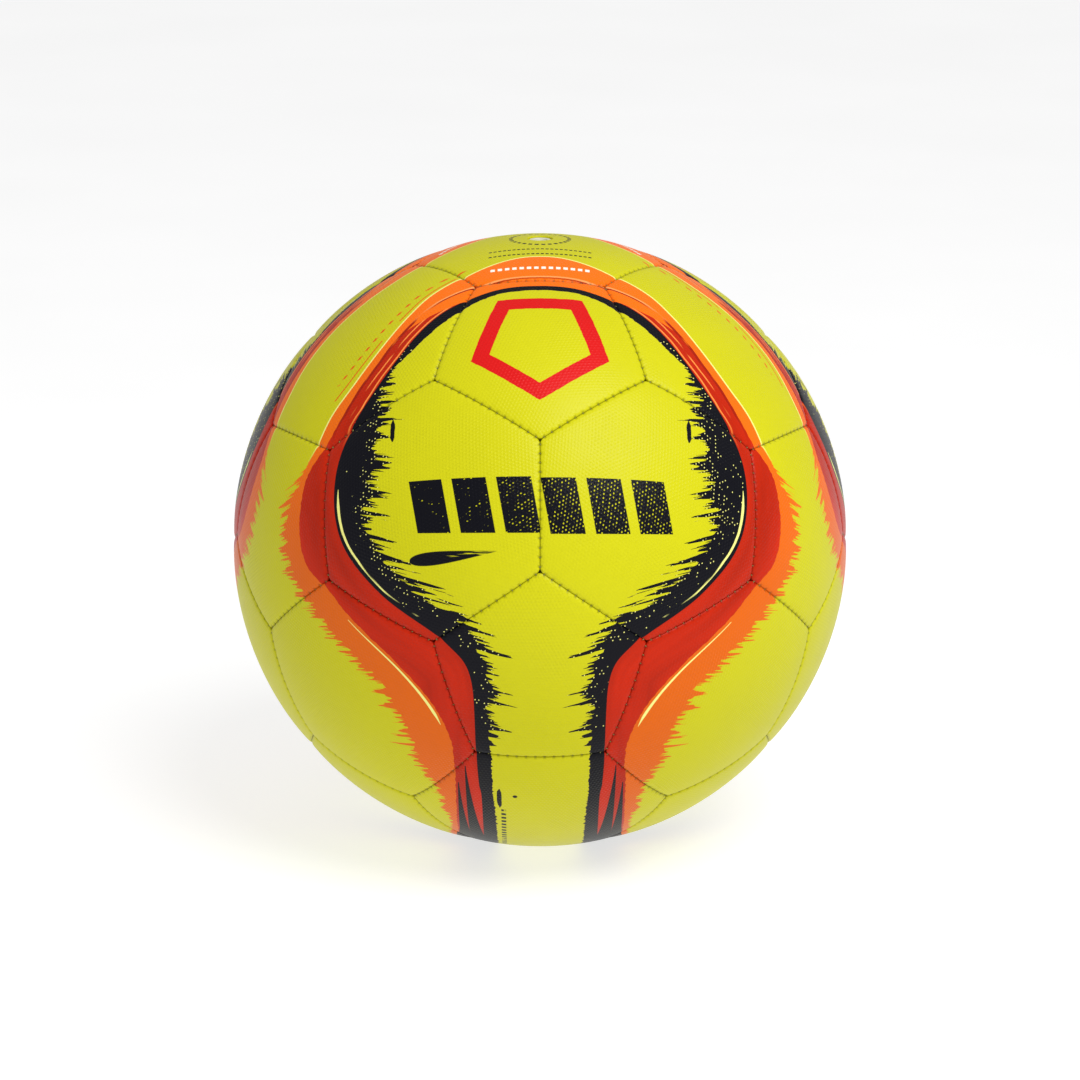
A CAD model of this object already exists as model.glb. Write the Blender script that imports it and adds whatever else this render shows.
"""Size 4 futsal ball: finished meshes and materials in the frame of its CAD model.

Blender runs this file as a script. Registered as an add-on, it has the panel "Ball" in the 3D view's sidebar.
"""
import math
from types import SimpleNamespace

import bpy
import numpy as np
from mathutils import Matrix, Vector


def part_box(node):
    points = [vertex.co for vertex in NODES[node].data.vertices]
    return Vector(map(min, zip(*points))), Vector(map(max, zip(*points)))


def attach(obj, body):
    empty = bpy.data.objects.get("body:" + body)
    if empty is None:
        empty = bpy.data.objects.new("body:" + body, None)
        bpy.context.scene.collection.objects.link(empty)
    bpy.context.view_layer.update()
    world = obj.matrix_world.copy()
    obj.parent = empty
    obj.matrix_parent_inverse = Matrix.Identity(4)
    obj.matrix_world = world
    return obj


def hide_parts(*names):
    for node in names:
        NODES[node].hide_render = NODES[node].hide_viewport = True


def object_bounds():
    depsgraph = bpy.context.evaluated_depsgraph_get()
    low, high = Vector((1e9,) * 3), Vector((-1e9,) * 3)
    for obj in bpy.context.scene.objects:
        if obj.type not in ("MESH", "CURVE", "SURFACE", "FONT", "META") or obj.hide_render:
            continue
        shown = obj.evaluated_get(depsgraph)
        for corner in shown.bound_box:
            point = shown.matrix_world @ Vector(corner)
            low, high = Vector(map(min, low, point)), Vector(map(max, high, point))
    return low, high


bl_info = {
    "name": "Sewn ball",
    "version": (1, 0, 0),
    "blender": (4, 5, 0),
    "location": "3D View > Sidebar > Ball",
    "description": "Builds a ball of 32 sewn and printed panels, with its stitches, valve and stage",
    "category": "Object",
}

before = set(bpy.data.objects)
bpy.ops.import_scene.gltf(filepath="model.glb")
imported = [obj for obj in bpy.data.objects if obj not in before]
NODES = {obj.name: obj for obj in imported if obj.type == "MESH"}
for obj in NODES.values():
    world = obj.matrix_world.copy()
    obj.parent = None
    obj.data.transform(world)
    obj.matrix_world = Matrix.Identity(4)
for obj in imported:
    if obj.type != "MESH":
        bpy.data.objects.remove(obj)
CAD_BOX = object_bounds()
MM = 0.001

SEAMS = 90
GRAIN_STEP = 1.25
LIGHT_STREAK = (0.93, 0.27, 0.05, 1)
FAINT_STREAK = (0.95, 0.33, 0.10, 1)
WHITE_INK = (0.9, 0.9, 0.8, 1)
FLOOR_RADIUS = 20

# Where the panels lie on the ball: angles from the valve, and turns round it
HEX_NEAR = math.degrees(math.acos(math.sqrt(5) / 3))
HEX_FAR = math.degrees(math.acos(1 / 3))
PENT_NEAR = 37.377368
PENT_FAR = 79.187683
PAIR_TURN = 60 - math.degrees(math.acos(math.sqrt(5 / 8)))
HEX_SLOPE = HEX_NEAR / 2
PENT_SLOPE = PENT_NEAR - HEX_SLOPE
FRONT = [-90, 30, 150]
BACK = [-30, 90, 210]


def pairs(turns):
    """Two turns for each one given, a little to either side of it."""
    return [turn + side * PAIR_TURN for turn in turns for side in (-1, 1)]


RINGS = [
    ("valve_hexagon", 6, 0, [0]),
    ("crown_pentagon", 5, PENT_NEAR, FRONT),
    ("crown_hexagon", 6, HEX_NEAR, BACK),
    ("upper_hexagon", 6, HEX_FAR, pairs(FRONT)),
    ("upper_pentagon", 5, PENT_FAR, BACK),
    ("lower_pentagon", 5, 180 - PENT_FAR, FRONT),
    ("lower_hexagon", 6, 180 - HEX_FAR, pairs(BACK)),
    ("foot_hexagon", 6, 180 - HEX_NEAR, FRONT),
    ("foot_pentagon", 5, 180 - PENT_NEAR, BACK),
    ("base_hexagon", 6, 180, [0]),
]

# Outlines of the printed figure: degrees down its middle line from the valve, and degrees off that line
BLACK_EDGE = [
    (23, 0), (24, 9), (29, 19), (41, 28.8), (54, 37.2), (66, 39.4), (77, 37), (86, 29.4), (92.5, 19.4),
    (95, 16.2), (98, 13.3), (102, 12), (108, 11.6), (118, 11.4), (126, 11), (134, 10.5), (180, 10.3),
]
RED_EDGE = [
    (23.4, 0), (24.8, 10), (27.2, 18), (30.5, 24.6), (36.6, 29.8), (44, 35.3), (52, 40.9), (58.4, 45.6),
    (66, 47.5), (75, 47.7), (82, 45.8), (87, 41), (93, 35), (101, 25), (108, 19), (115, 16), (122, 15.4),
    (140, 15.3), (180, 15.1),
]
ORANGE_EDGE = [
    (12, 0), (13.6, 7), (20.3, 18.4), (26, 24), (33, 29.6), (39.7, 34.9), (45.4, 39.8), (52, 43.6), (59, 48),
    (66, 51.5), (75, 52.3), (84, 50.5), (92, 46), (98, 39.5), (106, 29.7), (114, 25), (120, 23), (125, 21.2),
    (131, 18.6), (136, 17.2), (145, 16.4), (180, 16.1),
]
FADE_EDGE = [
    (24.4, 0), (25.4, 8.6), (30, 16.5), (36, 23), (40, 27), (46, 29), (58, 29.7), (66, 31.4), (72, 31.6),
    (78, 29), (84, 22.5), (90, 14), (94, 10.6), (100, 8.2), (112, 8.7), (120, 8.7), (130, 8.4), (145, 7.9),
    (180, 7.8),
]


def length(label, about, value):
    """A size property, in metres."""
    return bpy.props.FloatProperty(name=label, description=about, default=value, unit="LENGTH")


class BallSizes(bpy.types.PropertyGroup):
    """Sizes of the sewn cover, in metres."""

    radius: length("Radius", "From the middle to a panel's crown", 0.10025)
    groove_depth: length("Groove depth", "Depth of a seam below the panels", 0.0006)
    groove_width: length("Edge roll", "Width over which a panel rolls into a seam", 0.0017)
    crown: length("Crown", "How far a panel stands higher in its middle", 0.0004)
    corner: length("Corner radius", "Rounding of a panel's corners", 0.0011)
    skin: length("Skin", "Thickness of a panel's skin", 0.001)
    cover: length("Cover", "Thickness of skin, foam and lining together", 0.0045)
    stitches: bpy.props.IntProperty(name="Stitches", description="Stitches along one seam", default=14)
    pucker: length("Pucker", "How far a stitch pulls the panels in", 0.00014)
    thread: length("Thread", "Thickness of the sewing thread", 0.00034)
    stitch_span: length("Stitch span", "Length of a stitch across the seam", 0.0011)
    stitch_depth: length("Stitch depth", "How deep the threads lie below the panels' crowns", 0.00098)
    valve_hole: length("Valve hole", "Diameter of the hole in the valve panel", 0.008)
    print_shift: length("Print shift", "How far the print may miss from panel to panel", 0.0005)


def colour(label, about, value):
    """A colour property."""
    return bpy.props.FloatVectorProperty(
        name=label, description=about, subtype="COLOR", size=3, min=0, max=1, default=value)


class BallColours(bpy.types.PropertyGroup):
    """Colours of the print and of the pieces inside."""

    base: colour("Base", "Yellow of the skin", (0.565, 0.548, 0.006))
    pale: colour("Pale", "Pale yellow of the thin lines", (0.85, 0.83, 0.24))
    orange: colour("Orange", "Orange of the outer band", (0.82, 0.145, 0.003))
    red: colour("Red", "Red of the middle band", (0.54, 0.018, 0.001))
    black: colour("Black", "Black of the inner band", (0.003, 0.003, 0.006))
    badge: colour("Badge", "Red of the badge", (0.62, 0.008, 0.008))
    thread: colour("Thread", "Sewing thread", (0.24, 0.24, 0.06))
    foam: colour("Foam", "Foam behind the skins", (0.72, 0.70, 0.62))
    lining: colour("Lining", "Woven lining", (0.60, 0.60, 0.58))
    butyl: colour("Bladder", "Butyl rubber", (0.018, 0.018, 0.019))
    valve: colour("Valve", "Rubber of the valve", (0.62, 0.61, 0.50))


class StageSizes(bpy.types.PropertyGroup):
    """Camera and lights."""

    distance: length("Distance", "Camera to the ball's middle", 1.186)
    height: bpy.props.FloatProperty(
        name="Height", description="Camera's angle above the horizon", default=math.radians(14.8),
        subtype="ANGLE")
    lens: bpy.props.FloatProperty(name="Lens", description="Focal length in mm", default=120.6)
    key: bpy.props.FloatProperty(name="Key", description="Power of the key light in W", default=14)
    fill: bpy.props.FloatProperty(name="Fill", description="Power of the fill light in W", default=0.3)
    sky: bpy.props.FloatProperty(name="Sky", description="Strength of the white surround", default=0.45)
    floor: bpy.props.FloatProperty(name="Floor", description="Own light of the pale floor", default=0.70)


# Node trees


class Wires:
    """Makes and joins the nodes of one tree."""

    def __init__(self, tree):
        self.tree = tree

    def node(self, kind, **settings):
        made = self.tree.nodes.new(kind)
        for key, value in settings.items():
            setattr(made, key, value)
        return made

    def put(self, socket, value):
        if isinstance(value, bpy.types.NodeSocket):
            self.tree.links.new(value, socket)
        else:
            socket.default_value = value

    def calc(self, kind, *values, clamp=False):
        made = self.node("ShaderNodeMath", operation=kind, use_clamp=clamp)
        for socket, value in zip(made.inputs, values):
            self.put(socket, value)
        return made.outputs[0]

    def ramp(self, value, low, high, out_low=0.0, out_high=1.0):
        made = self.node("ShaderNodeMapRange", clamp=True)
        for socket, given in zip(made.inputs, (value, low, high, out_low, out_high)):
            self.put(socket, given)
        return made.outputs[0]

    def below(self, value, limit, soft=0.12):
        """1 where the value is under the limit, 0 over it."""
        return self.ramp(self.calc("SUBTRACT", value, limit), -soft / 2, soft / 2, 1.0, 0.0)

    def above(self, value, limit, soft=0.12):
        return self.ramp(self.calc("SUBTRACT", value, limit), -soft / 2, soft / 2)

    def band(self, value, middle, half, soft=0.12):
        """1 where the value is within half of the middle."""
        off = self.calc("ABSOLUTE", self.calc("SUBTRACT", value, middle))
        return self.ramp(self.calc("SUBTRACT", off, half), -soft / 2, soft / 2, 1.0, 0.0)

    def both(self, *masks):
        made = masks[0]
        for mask in masks[1:]:
            made = self.calc("MULTIPLY", made, mask)
        return made

    def either(self, *masks):
        made = masks[0]
        for mask in masks[1:]:
            made = self.calc("MAXIMUM", made, mask)
        return made

    def mix(self, mask, under, over, blend="MIX"):
        made = self.node("ShaderNodeMix", data_type="RGBA", blend_type=blend)
        self.put(made.inputs[0], mask)
        self.put(made.inputs[6], under)
        self.put(made.inputs[7], over)
        return made.outputs[2]

    def vector(self, x, y, z=0.0):
        made = self.node("ShaderNodeCombineXYZ")
        for socket, value in zip(made.inputs, (x, y, z)):
            self.put(socket, value)
        return made.outputs[0]

    def split(self, vector):
        made = self.node("ShaderNodeSeparateXYZ")
        self.put(made.inputs[0], vector)
        return made.outputs

    def noise(self, vector, scale=1.0, detail=2.0, rough=0.5):
        made = self.node("ShaderNodeTexNoise", noise_dimensions="3D")
        self.put(made.inputs["Vector"], vector)
        self.put(made.inputs["Scale"], scale)
        self.put(made.inputs["Detail"], detail)
        self.put(made.inputs["Roughness"], rough)
        return made.outputs[0]

    def attribute(self, name):
        return self.node("ShaderNodeAttribute", attribute_type="GEOMETRY", attribute_name=name)

    def group(self, tree, **values):
        made = self.node("ShaderNodeGroup", node_tree=tree)
        for key, value in values.items():
            self.put(made.inputs[key.replace("_", " ").capitalize()], value)
        return made.outputs


def new_group(name, takes, gives, kind="ShaderNodeTree"):
    """A node group with named sockets, and its input and output nodes."""
    tree = bpy.data.node_groups.new(name, kind)
    for label, socket, value in takes:
        made = tree.interface.new_socket(name=label, in_out="INPUT", socket_type=socket)
        if value is not None:
            made.default_value = value
    for label, socket in gives:
        tree.interface.new_socket(name=label, in_out="OUTPUT", socket_type=socket)
    wires = Wires(tree)
    return tree, wires, wires.node("NodeGroupInput").outputs, wires.node("NodeGroupOutput").inputs


FLOAT = "NodeSocketFloat"
VECTOR = "NodeSocketVector"
COLOR = "NodeSocketColor"


def grain_group():
    """Rows of small raised dots, each row shifted by half a step."""
    tree, w, take, give = new_group(
        "Grain dots", [("At", VECTOR, None), ("Step", FLOAT, 1.3), ("Turn", FLOAT, 0.0)],
        [("Height", FLOAT), ("Cell", VECTOR)])
    turned = w.node("ShaderNodeVectorRotate", rotation_type="Z_AXIS")
    w.put(turned.inputs["Vector"], take["At"])
    w.put(turned.inputs["Angle"], take["Turn"])
    x, y, _ = w.split(turned.outputs[0])
    row = w.calc("DIVIDE", y, w.calc("MULTIPLY", take["Step"], 0.8))
    row_at = w.calc("FLOOR", row)
    shift = w.calc("MULTIPLY", w.calc("MODULO", w.calc("ABSOLUTE", row_at), 2.0), 0.5)
    column = w.calc("ADD", w.calc("DIVIDE", x, take["Step"]), shift)
    off_x = w.calc("SUBTRACT", w.calc("FRACT", column), 0.5)
    off_y = w.calc("SUBTRACT", w.calc("FRACT", row), 0.5)
    square = w.calc("ADD", w.calc("MULTIPLY", off_x, off_x), w.calc("MULTIPLY", off_y, off_y))
    far = w.calc("SQRT", square)
    w.put(give["Height"], w.ramp(far, 0.42, 0.08))
    w.put(give["Cell"], w.vector(w.calc("FLOOR", column), row_at))
    return tree


def brush_group():
    """Draws an outline out into thin strokes, as a dry brush leaves it. A negative reach turns them round."""
    tree, w, take, give = new_group(
        "Brush edge",
        [("Distance", FLOAT, 0.0), ("Along", FLOAT, 0.0), ("Across", FLOAT, 0.0), ("Reach", FLOAT, 4.0),
         ("Tilt", FLOAT, 0.2), ("Seed", FLOAT, 0.0)],
        [("Distance", FLOAT)])
    line = w.calc("ADD", take["Along"], w.calc("MULTIPLY", take["Across"], take["Tilt"]))
    coarse = w.noise(w.vector(w.calc("MULTIPLY", line, 0.30), w.calc("MULTIPLY", take["Across"], 0.045),
                              take["Seed"]), 1.0, 1.0)
    middle = w.noise(w.vector(w.calc("MULTIPLY", line, 0.75), w.calc("MULTIPLY", take["Across"], 0.05),
                              w.calc("ADD", take["Seed"], 5.0)), 1.0, 0.0)
    fine = w.noise(w.vector(w.calc("MULTIPLY", line, 1.7), w.calc("MULTIPLY", take["Across"], 0.09),
                            w.calc("ADD", take["Seed"], 9.0)), 1.0, 1.0)
    total = w.calc("MULTIPLY_ADD", w.calc("SUBTRACT", coarse, 0.5), 0.6, -0.12)
    for layer, start, share in ((middle, 0.45, 1.7), (fine, 0.48, 1.5)):
        spike = w.calc("MAXIMUM", w.calc("SUBTRACT", layer, start), 0.0)
        total = w.calc("MULTIPLY_ADD", spike, share, total)
    w.put(give["Distance"], w.calc("MULTIPLY_ADD", total, take["Reach"], take["Distance"]))
    return tree


def weave_group():
    """Plain weave: threads over and under, with slubs."""
    tree, w, take, give = new_group(
        "Plain weave", [("At", VECTOR, None), ("Pitch", FLOAT, 0.0006)],
        [("Height", FLOAT), ("Shade", FLOAT)])
    x, y, z = w.split(take["At"])
    turn = w.calc("DIVIDE", math.pi, take["Pitch"])
    side = w.calc("MULTIPLY", w.calc("ADD", x, z), turn)
    up = w.calc("MULTIPLY", w.calc("SUBTRACT", y, z), turn)
    over = w.calc("MULTIPLY", w.calc("SINE", side), w.calc("SINE", up))
    slub = w.noise(take["At"], 900.0, 2.0)
    raised = w.calc("ABSOLUTE", over)
    dark = w.calc("MULTIPLY_ADD", slub, 0.3, 0.45)
    w.put(give["Height"], w.calc("ADD", raised, w.calc("MULTIPLY", slub, 0.4)))
    w.put(give["Shade"], w.calc("MULTIPLY_ADD", raised, 0.35, dark))
    return tree


def handling_group():
    """Slow changes of tone and gloss from handling and moulding."""
    tree, w, take, give = new_group(
        "Handling",
        [("At", VECTOR, None), ("Colour", COLOR, None), ("Amount", FLOAT, 0.1), ("Roughness", FLOAT, 0.5)],
        [("Colour", COLOR), ("Roughness", FLOAT)])
    slow = w.noise(take["At"], 22.0, 3.0)
    fine = w.noise(take["At"], 420.0, 3.0)
    speckle = w.calc("MULTIPLY", w.calc("SUBTRACT", fine, 0.5), 0.5)
    tone = w.calc("ADD", w.calc("SUBTRACT", slow, 0.5), speckle)
    value = w.calc("MULTIPLY_ADD", tone, take["Amount"], 1.0)
    hue = w.node("ShaderNodeHueSaturation")
    w.put(hue.inputs["Value"], value)
    w.put(hue.inputs["Color"], take["Colour"])
    w.put(give["Colour"], hue.outputs[0])
    share = w.calc("MULTIPLY", take["Amount"], 0.7)
    w.put(give["Roughness"], w.calc("MULTIPLY_ADD", tone, share, take["Roughness"]))
    return tree


def shade(tint, share=1.0):
    """The colour made lighter or darker, as a shader's colour value."""
    return (*(min(1.0, share * part) for part in tint), 1)


def print_places(w, take, brush, grain):
    """Values that the steps of the print share: places on the figure, distances to its edges, and noise."""
    down, side, across = w.split(take["Place"])
    panel_x, panel_y, seed = w.split(take["Panel"])
    black = take["Black"]
    # The orange's edge is ragged below the crown, and calmer towards the base
    outer_reach = w.both(w.ramp(down, 96.0, 108.0), w.ramp(down, 218.0, 248.0, -8.5, -2.5))
    outer = w.group(brush, distance=take["Orange"], along=down, across=across, tilt=-0.35, seed=3.0,
                    reach=outer_reach)[0]
    inner_reach = w.both(w.ramp(down, 66.0, 78.0, 0.4, 11.5), w.ramp(down, 193.0, 203.0, 1.0, 0.08))
    inner = w.group(brush, distance=take["Fade"], along=down, across=across, tilt=0.22, seed=21.0,
                    reach=inner_reach)[0]
    rim = w.noise(w.vector(w.calc("MULTIPLY", down, 0.5), w.calc("MULTIPLY", across, 0.1), 4.0), 1.0, 2.0)
    red = w.calc("MULTIPLY_ADD", w.calc("SUBTRACT", rim, 0.5), 1.0, take["Red"])
    gate_at = w.vector(w.calc("MULTIPLY", down, 0.12), w.calc("MULTIPLY", black, 0.5), 6.0)
    return SimpleNamespace(
        down=down, side=side, across=across, seed=seed, panel=take["Panel"], panel_x=panel_x, panel_y=panel_y,
        to_orange=take["Orange"], to_red=take["Red"], to_black=black, outer=outer, inner=inner,
        in_orange=w.below(outer, 0.0), in_red=w.below(red, 0.0),
        in_black=w.both(w.below(black, 0.0), w.above(inner, 0.0)),
        wave=w.noise(w.vector(w.calc("MULTIPLY", down, 0.09), 0.0, 2.0), 1.0, 2.0),
        gate=w.noise(gate_at, 1.0, 1.0),
        dots=w.group(grain, at=take["Panel"], step=GRAIN_STEP, turn=w.calc("MULTIPLY", seed, 0.5)))


def colour_bands(w, p, colours):
    """Yellow, orange and red. The red has long soft strokes and the orange deepens downwards."""
    lanes = w.vector(w.calc("MULTIPLY", p.down, 0.02), w.calc("MULTIPLY", p.to_black, 0.16), 8.0)
    long = w.noise(lanes, 1.0, 2.0)
    red = w.mix(w.ramp(long, 0.35, 0.68), shade(colours.red), shade(colours.red, 0.72))
    orange = w.mix(w.ramp(p.down, 30.0, 150.0), shade(colours.orange, 1.12), shade(colours.orange, 0.86))
    ground = w.mix(p.in_orange, shade(colours.base), orange)
    return w.mix(w.both(p.in_orange, p.in_red), ground, red)


def crown_streaks(w, p, colours, ground):
    """Streaks where the red starts, over the crown."""
    crown = w.below(p.down, 88.0, 14.0)
    sway = w.calc("MULTIPLY_ADD", w.calc("SUBTRACT", p.wave, 0.5), 1.6, p.to_black)
    light = w.either(w.band(sway, 0.7, 0.28), w.both(w.band(sway, 3.0, 0.26), w.above(p.gate, 0.48)))
    ground = w.mix(w.both(light, crown, p.in_red, p.in_orange), ground, LIGHT_STREAK)
    late = w.both(w.band(sway, 5.6, 0.55), w.above(p.down, 34.0, 6.0), crown, p.in_orange,
                  w.above(p.gate, 0.40))
    ground = w.mix(late, ground, shade(colours.red, 0.6))
    faint = w.both(w.band(sway, 6.0, 0.35), w.below(p.down, 46.0, 8.0), w.above(p.gate, 0.36), p.in_orange)
    return w.mix(w.both(faint, w.above(p.to_black, 0.0)), ground, FAINT_STREAK)


def thin_lines(w, p, colours, ground):
    """Pale lines along the orange, and a thin line and dashes outside one side of the figure."""
    pale = shade(colours.pale)
    round_orange = w.both(w.band(p.outer, 0.25, 0.28), w.below(p.down, 92.0, 10.0))
    ground = w.mix(round_orange, ground, pale)
    width = w.both(w.ramp(p.down, 162.0, 190.0, 0.08, 0.5), w.ramp(p.down, 192.0, 196.0, 1.0, 0.1))
    gleam = w.both(w.band(p.to_red, 1.3, width), w.above(p.down, 163.0), w.below(p.down, 196.0))
    ground = w.mix(gleam, ground, pale)
    left = w.below(p.side, -20.0, 0.1)
    gap = w.either(w.below(p.down, 46.0), w.above(p.down, 53.0))
    line = w.band(p.to_orange, w.ramp(p.down, 30.0, 73.0, 1.4, 3.0), 0.24)
    thin = w.both(line, w.above(p.down, 30.0), w.below(p.down, 73.0), gap, left)
    dash = w.calc("FRACT", w.calc("DIVIDE", p.down, 3.1))
    row = w.band(p.to_orange, w.ramp(p.down, 25.0, 66.0, 4.0, 6.4), 0.42)
    dashes = w.both(row, w.band(dash, 0.4, 0.22, 0.05), w.above(p.down, 25.0), w.below(p.down, 66.0), left)
    deep = tuple(0.6 * a + 0.4 * b for a, b in zip(colours.orange, colours.red))
    return w.mix(w.either(thin, dashes), ground, shade(deep))


def black_band(w, p, colours, ground):
    """The black band, with bare dots where it thins out and a pale sliver along it. Also gives its ink."""
    chance = w.node("ShaderNodeTexWhiteNoise", noise_dimensions="3D")
    w.put(chance.inputs["Vector"], p.dots["Cell"])
    cloud = w.calc("MULTIPLY", w.calc("SUBTRACT", w.noise(p.panel, 0.16, 2.0), 0.5), 0.8)
    thinning = w.calc("ADD", w.ramp(p.inner, 0.0, 9.0, 0.42, -0.12), cloud)
    more = w.ramp(p.side, -60.0, 60.0, 0.08, 0.3)
    thinning = w.calc("MULTIPLY_ADD", more, w.band(p.down, 106.0, 22.0, 16.0), thinning)
    bare = w.both(w.above(p.dots["Height"], 0.72, 0.3), w.below(chance.outputs[0], thinning, 0.02),
                  w.band(p.down, 127.0, 68.0))
    sway = w.calc("MULTIPLY_ADD", w.calc("SUBTRACT", p.wave, 0.5), 0.8, p.to_black)
    slim = w.both(w.ramp(p.down, 112.0, 160.0, 0.6, 0.2), w.ramp(p.down, 111.0, 119.0, 0.05, 1.0))
    sliver = w.both(w.band(sway, -1.7, slim), w.above(p.down, 112.0), w.below(p.down, 157.0))
    broken = w.either(w.below(p.down, 138.0), w.above(p.gate, 0.52))
    ink = w.both(p.in_black, w.calc("SUBTRACT", 1.0, w.either(bare, w.both(sliver, broken))))
    ground = w.mix(w.both(p.in_black, w.below(p.to_black, -0.3)), ground, shade(colours.pale))
    ground = w.mix(ink, ground, shade(colours.black))
    inside = w.both(w.below(p.inner, 0.0), w.below(p.to_black, 0.0))
    return w.mix(inside, ground, shade(colours.base)), ink


def long_wedge(w, p, top, drift, width):
    """A stroke down the stem from a point. Drift and width each run to where, from what, to what."""
    middle = w.ramp(p.down, top + 1, *drift)
    half = w.ramp(p.down, top, *width)
    return w.both(w.band(p.across, middle, half), w.above(p.down, top))


def loose_strokes(w, p, colours, ground):
    """Loose black strokes: wedges in the red stem, a dash, a dot and a ladder beside it, a tall one above."""
    wedges = w.either(long_wedge(w, p, 212.0, (261.0, 23.6, 20.4), (276.0, 0.15, 3.0)),
                      long_wedge(w, p, 221.0, (256.0, 25.9, 24.5), (276.0, 0.15, 2.5)))
    rungs = w.calc("FRACT", w.calc("DIVIDE", p.down, 2.7))
    ladder = w.both(w.band(p.across, 11.6, 0.75), w.band(rungs, 0.5, 0.26, 0.06), w.above(p.down, 233.0),
                    w.below(p.down, 281.0), w.above(p.gate, 0.36))
    off_x = w.calc("SUBTRACT", p.across, 8.0)
    off_y = w.calc("SUBTRACT", p.down, 224.5)
    dot = w.calc("SQRT", w.calc("ADD", w.calc("POWER", off_x, 2.0), w.calc("POWER", off_y, 2.0)))
    uneven = w.calc("MULTIPLY_ADD", w.calc("SUBTRACT", p.gate, 0.5), 1.2, p.across)
    dash_half = w.calc("MULTIPLY", w.band(p.down, 226.5, 4.8, 2.0), 0.62)
    dash = w.both(w.band(uneven, 12.9, dash_half), w.band(p.down, 226.5, 5.6))
    lone = w.both(w.either(dash, w.below(dot, 0.75), ladder), w.below(p.side, 0.0, 0.1))
    tall_half = w.calc("MULTIPLY", w.band(p.down, 93.5, 3.4, 2.0), 0.8)
    tall = w.both(w.band(uneven, 47.1, tall_half), w.band(p.down, 93.5, 4.2))
    return w.mix(w.either(wedges, lone, tall), ground, shade(colours.black))


def front_marks(w, p, colours, ground):
    """Six slanted blocks with bare dots, and one brush stroke under them. Also gives their ink."""
    pitch = 13.8
    slant = w.calc("MULTIPLY_ADD", w.calc("SUBTRACT", p.down, 121.0), -0.18, p.side)
    cell = w.calc("FRACT", w.calc("DIVIDE", w.calc("ADD", slant, 3 * pitch), pitch))
    block = w.both(w.band(cell, 0.5, 0.385, 0.012), w.band(slant, 0.0, 3 * pitch), w.band(p.down, 121.0, 8.6))
    plus = w.calc("ADD", p.panel_x, p.panel_y)
    minus = w.calc("MULTIPLY", w.calc("SUBTRACT", p.panel_x, p.panel_y), 0.35)
    grit = w.noise(w.vector(plus, minus, p.seed), 0.9, 3.0)
    worn = w.both(w.above(p.dots["Height"], 0.6, 0.3),
                  w.above(grit, w.ramp(p.side, -30.0, 10.0, 0.66, 0.50), 0.05))
    start, end = -41.0, -13.5
    middle = w.calc("MULTIPLY_ADD", w.calc("ADD", p.side, 40.0), -0.13, 138.6)
    swell = w.calc("SINE", w.calc("MULTIPLY", w.calc("SQRT", w.ramp(p.side, start, end)), math.pi))
    half = w.calc("MULTIPLY_ADD", swell, 2.1, 0.1)
    strands = w.vector(w.calc("MULTIPLY", p.side, 0.12), w.calc("MULTIPLY", p.down, 1.4), 3.0)
    frayed = w.noise(strands, 1.0, 2.0)
    stroke = w.both(w.band(p.down, middle, half, 0.2), w.above(p.side, start), w.below(p.side, end),
                    w.above(frayed, w.ramp(p.side, -34.0, -14.0, 0.25, 0.5)))
    mark = w.both(w.either(w.both(block, w.calc("SUBTRACT", 1.0, worn)), stroke), w.below(p.across, 46.0))
    return w.mix(mark, ground, shade(colours.black)), mark


def valve_marks(w, p, colours, at, ground):
    """White dashes on the orange, and a dashed ring and two rows of small marks by the valve."""
    x, y, z = w.split(at)
    tick = w.calc("FRACT", w.calc("DIVIDE", p.side, 2.3))
    ticks = w.both(w.band(p.down, 28.9, 0.75), w.band(p.side, 0.0, 16.1), w.below(p.across, 17.0),
                   w.band(tick, 0.5, 0.30, 0.06))
    ground = w.mix(ticks, ground, WHITE_INK)
    far = w.calc("SQRT", w.calc("ADD", w.calc("MULTIPLY", x, x), w.calc("MULTIPLY", y, y)))
    ring = w.calc("MULTIPLY", far, 1 / MM)
    turn = w.calc("FRACT", w.calc("MULTIPLY", w.calc("ARCTAN2", y, x), 28 / math.tau))
    small = w.calc("FRACT", w.calc("MULTIPLY", x, 1 / (1.5 * MM)))
    row = w.calc("MULTIPLY", y, -1 / MM)
    rows = w.either(w.band(row, 14.2, 0.4), w.band(row, 18.6, 0.4))
    row_marks = w.both(rows, w.band(small, 0.5, 0.33, 0.1), w.band(x, 0.0, 0.0165, 0.0002))
    ring_marks = w.both(w.band(ring, 9.4, 0.6), w.band(turn, 0.5, 0.3, 0.1))
    marks = w.both(w.either(ring_marks, row_marks), w.above(z, 0.0))
    return w.mix(marks, ground, shade(colours.black))


def print_group(colours, brush, grain):
    """The whole print: bands, brushed edges, thin lines and plain marks. Lengths are in millimetres."""
    tree, w, take, give = new_group(
        "Ball print",
        [("Place", VECTOR, None), ("Orange", FLOAT, 9.0), ("Red", FLOAT, 9.0), ("Black", FLOAT, 9.0),
         ("Fade", FLOAT, 9.0), ("Panel", VECTOR, None), ("At", VECTOR, None)],
        [("Colour", COLOR), ("Ink", FLOAT)])
    p = print_places(w, take, brush, grain)
    ground = colour_bands(w, p, colours)
    ground = crown_streaks(w, p, colours, ground)
    ground = thin_lines(w, p, colours, ground)
    ground, ink = black_band(w, p, colours, ground)
    ground = loose_strokes(w, p, colours, ground)
    ground, mark = front_marks(w, p, colours, ground)
    ground = valve_marks(w, p, colours, take["At"], ground)
    w.put(give["Colour"], ground)
    w.put(give["Ink"], w.either(p.in_orange, ink, mark))
    return tree


def new_material(name):
    """A material with its shader, and the wires of its tree."""
    made = bpy.data.materials.new(name)
    made.use_nodes = True
    wires = Wires(made.node_tree)
    shader = made.node_tree.nodes["Principled BSDF"]
    return made, wires, shader


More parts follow.
